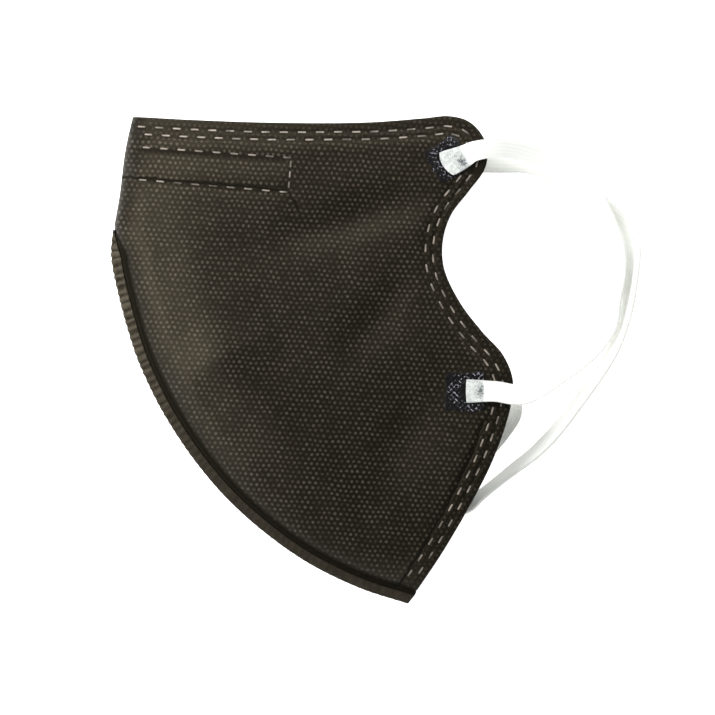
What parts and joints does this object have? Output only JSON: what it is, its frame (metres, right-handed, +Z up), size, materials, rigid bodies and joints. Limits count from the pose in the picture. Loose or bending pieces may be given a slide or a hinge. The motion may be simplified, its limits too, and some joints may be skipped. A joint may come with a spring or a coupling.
{
  "type": "folded respirator mask",
  "caption": "Flat-folding respirator mask lying folded on its side, with a welded front edge, a nose clip pocket and flat elastic ear loops.",
  "frame": {"origin": "middle of the folded body's footprint on the surface it lies on, with the ear loops left out", "axes": "+Z up from the surface, +Y from the chin towards the top edge, +X from the nose fold towards the ears"},
  "size_m": [0.1595, 0.1461, 0.0199],
  "materials": {
    "laminate": "black point-bonded nonwoven, matte with small glints",
    "welded_laminate": "black nonwoven pressed smooth by ultrasonic welding, slightly glossy",
    "elastic": "white knitted flat elastic, matte"
  },
  "bodies": {
    "root": {"near_half": "laminate", "far_half": "laminate", "front_weld": "welded_laminate", "near_ear_loop": "elastic", "far_ear_loop": "elastic"}
  },
  "joints": []
}
